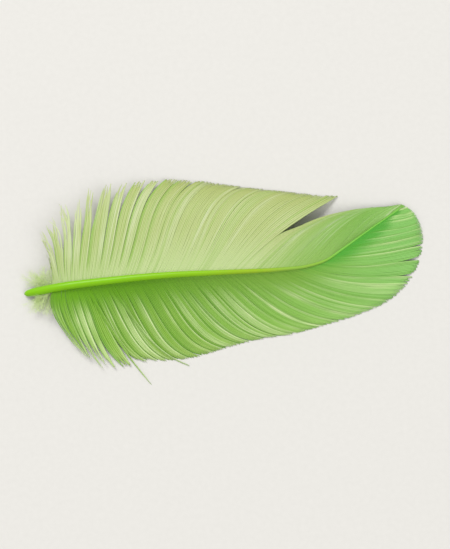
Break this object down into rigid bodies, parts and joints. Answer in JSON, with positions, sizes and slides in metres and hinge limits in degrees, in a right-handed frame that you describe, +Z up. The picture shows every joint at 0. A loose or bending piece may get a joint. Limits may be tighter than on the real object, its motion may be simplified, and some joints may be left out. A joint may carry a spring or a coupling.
{
  "type": "turkey wing feather",
  "caption": "Short curved feather dyed lime green, lying with its outer side up, with a bare quill, a tapering shaft that bends near the tip, and a split in its upper vane.",
  "frame": {"origin": "centre of the feather's outline, on the surface that it lies on", "axes": "+X along the straight part of the shaft, from the quill to the tip; +Y across the feather, to the side of the split vane; +Z up, out of the feather's outer side"},
  "size_m": [0.0902, 0.0468, 0.0077],
  "materials": {
    "dyed_feather": "dyed lime green barbs with a soft silky gloss, and a smoother, brighter shaft"
  },
  "bodies": {
    "root": {"feather": "dyed_feather"}
  },
  "joints": []
}
